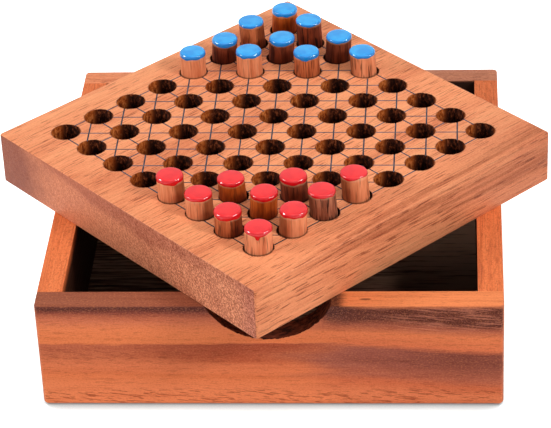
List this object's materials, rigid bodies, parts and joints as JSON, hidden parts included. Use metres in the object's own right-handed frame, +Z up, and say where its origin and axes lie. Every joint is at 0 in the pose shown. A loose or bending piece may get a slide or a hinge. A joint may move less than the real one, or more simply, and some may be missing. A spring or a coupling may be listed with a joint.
{
  "type": "halma travel game",
  "caption": "Open wooden box with a thick drilled playing board laid turned across its rim and loose painted pegs standing in two opposite corners of the board.",
  "frame": {"origin": "centre of the box's flat underside", "axes": "+Z up; +X along the notched front wall, to the right as seen from the front; +Y from the front wall to the back wall"},
  "size_m": [0.1793, 0.1793, 0.0657],
  "materials": {
    "box_wood": "orange tropical hardwood with purple-brown streaks, oiled satin",
    "panel_wood": "darker hardwood panel, plain oiled",
    "board_wood": "sanded orange-tan hardwood, fine grooves between the holes, satin",
    "red_peg": "hardwood dowel, end dipped in red gloss enamel",
    "blue_peg": "hardwood dowel, end dipped in blue gloss enamel",
    "peg_wood": "bare turned hardwood below the painted end of a peg"
  },
  "bodies": {
    "box": {"front_wall": "box_wood", "back_wall": "box_wood", "left_wall": "box_wood", "right_wall": "box_wood", "bottom_panel": "panel_wood", "front_ledge": "box_wood", "back_ledge": "box_wood"},
    "board": {"board": "board_wood"},
    "red_peg_1": {"red_peg_1": "red_peg"},
    "red_peg_2": {"red_peg_2": "red_peg"},
    "red_peg_3": {"red_peg_3": "red_peg"},
    "red_peg_4": {"red_peg_4": "red_peg"},
    "red_peg_5": {"red_peg_5": "red_peg"},
    "red_peg_6": {"red_peg_6": "red_peg"},
    "red_peg_7": {"red_peg_7": "red_peg"},
    "red_peg_8": {"red_peg_8": "red_peg"},
    "red_peg_9": {"red_peg_9": "red_peg"},
    "red_peg_10": {"red_peg_10": "red_peg"},
    "blue_peg_1": {"blue_peg_1": "blue_peg"},
    "blue_peg_2": {"blue_peg_2": "blue_peg"},
    "blue_peg_3": {"blue_peg_3": "blue_peg"},
    "blue_peg_4": {"blue_peg_4": "blue_peg"},
    "blue_peg_5": {"blue_peg_5": "blue_peg"},
    "blue_peg_6": {"blue_peg_6": "blue_peg"},
    "blue_peg_7": {"blue_peg_7": "blue_peg"},
    "blue_peg_8": {"blue_peg_8": "blue_peg"},
    "blue_peg_9": {"blue_peg_9": "blue_peg"},
    "blue_peg_10": {"blue_peg_10": "blue_peg"}
  },
  "joints": [
    {"name": "board_lift", "type": "slide", "parent": "box", "child": "board", "axis": [0, 0, 1], "range_m": [0, 0.06]},
    {"name": "red_peg_1_lift", "type": "slide", "parent": "board", "child": "red_peg_1", "axis": [0, 0, 1], "range_m": [0, 0.015]},
    {"name": "red_peg_2_lift", "type": "slide", "parent": "board", "child": "red_peg_2", "axis": [0, 0, 1], "range_m": [0, 0.015]},
    {"name": "red_peg_3_lift", "type": "slide", "parent": "board", "child": "red_peg_3", "axis": [0, 0, 1], "range_m": [0, 0.015]},
    {"name": "red_peg_4_lift", "type": "slide", "parent": "board", "child": "red_peg_4", "axis": [0, 0, 1], "range_m": [0, 0.015]},
    {"name": "red_peg_5_lift", "type": "slide", "parent": "board", "child": "red_peg_5", "axis": [0, 0, 1], "range_m": [0, 0.015]},
    {"name": "red_peg_6_lift", "type": "slide", "parent": "board", "child": "red_peg_6", "axis": [0, 0, 1], "range_m": [0, 0.015]},
    {"name": "red_peg_7_lift", "type": "slide", "parent": "board", "child": "red_peg_7", "axis": [0, 0, 1], "range_m": [0, 0.015]},
    {"name": "red_peg_8_lift", "type": "slide", "parent": "board", "child": "red_peg_8", "axis": [0, 0, 1], "range_m": [0, 0.015]},
    {"name": "red_peg_9_lift", "type": "slide", "parent": "board", "child": "red_peg_9", "axis": [0, 0, 1], "range_m": [0, 0.015]},
    {"name": "red_peg_10_lift", "type": "slide", "parent": "board", "child": "red_peg_10", "axis": [0, 0, 1], "range_m": [0, 0.015]},
    {"name": "blue_peg_1_lift", "type": "slide", "parent": "board", "child": "blue_peg_1", "axis": [0, 0, 1], "range_m": [0, 0.015]},
    {"name": "blue_peg_2_lift", "type": "slide", "parent": "board", "child": "blue_peg_2", "axis": [0, 0, 1], "range_m": [0, 0.015]},
    {"name": "blue_peg_3_lift", "type": "slide", "parent": "board", "child": "blue_peg_3", "axis": [0, 0, 1], "range_m": [0, 0.015]},
    {"name": "blue_peg_4_lift", "type": "slide", "parent": "board", "child": "blue_peg_4", "axis": [0, 0, 1], "range_m": [0, 0.015]},
    {"name": "blue_peg_5_lift", "type": "slide", "parent": "board", "child": "blue_peg_5", "axis": [0, 0, 1], "range_m": [0, 0.015]},
    {"name": "blue_peg_6_lift", "type": "slide", "parent": "board", "child": "blue_peg_6", "axis": [0, 0, 1], "range_m": [0, 0.015]},
    {"name": "blue_peg_7_lift", "type": "slide", "parent": "board", "child": "blue_peg_7", "axis": [0, 0, 1], "range_m": [0, 0.015]},
    {"name": "blue_peg_8_lift", "type": "slide", "parent": "board", "child": "blue_peg_8", "axis": [0, 0, 1], "range_m": [0, 0.015]},
    {"name": "blue_peg_9_lift", "type": "slide", "parent": "board", "child": "blue_peg_9", "axis": [0, 0, 1], "range_m": [0, 0.015]},
    {"name": "blue_peg_10_lift", "type": "slide", "parent": "board", "child": "blue_peg_10", "axis": [0, 0, 1], "range_m": [0, 0.015]}
  ]
}
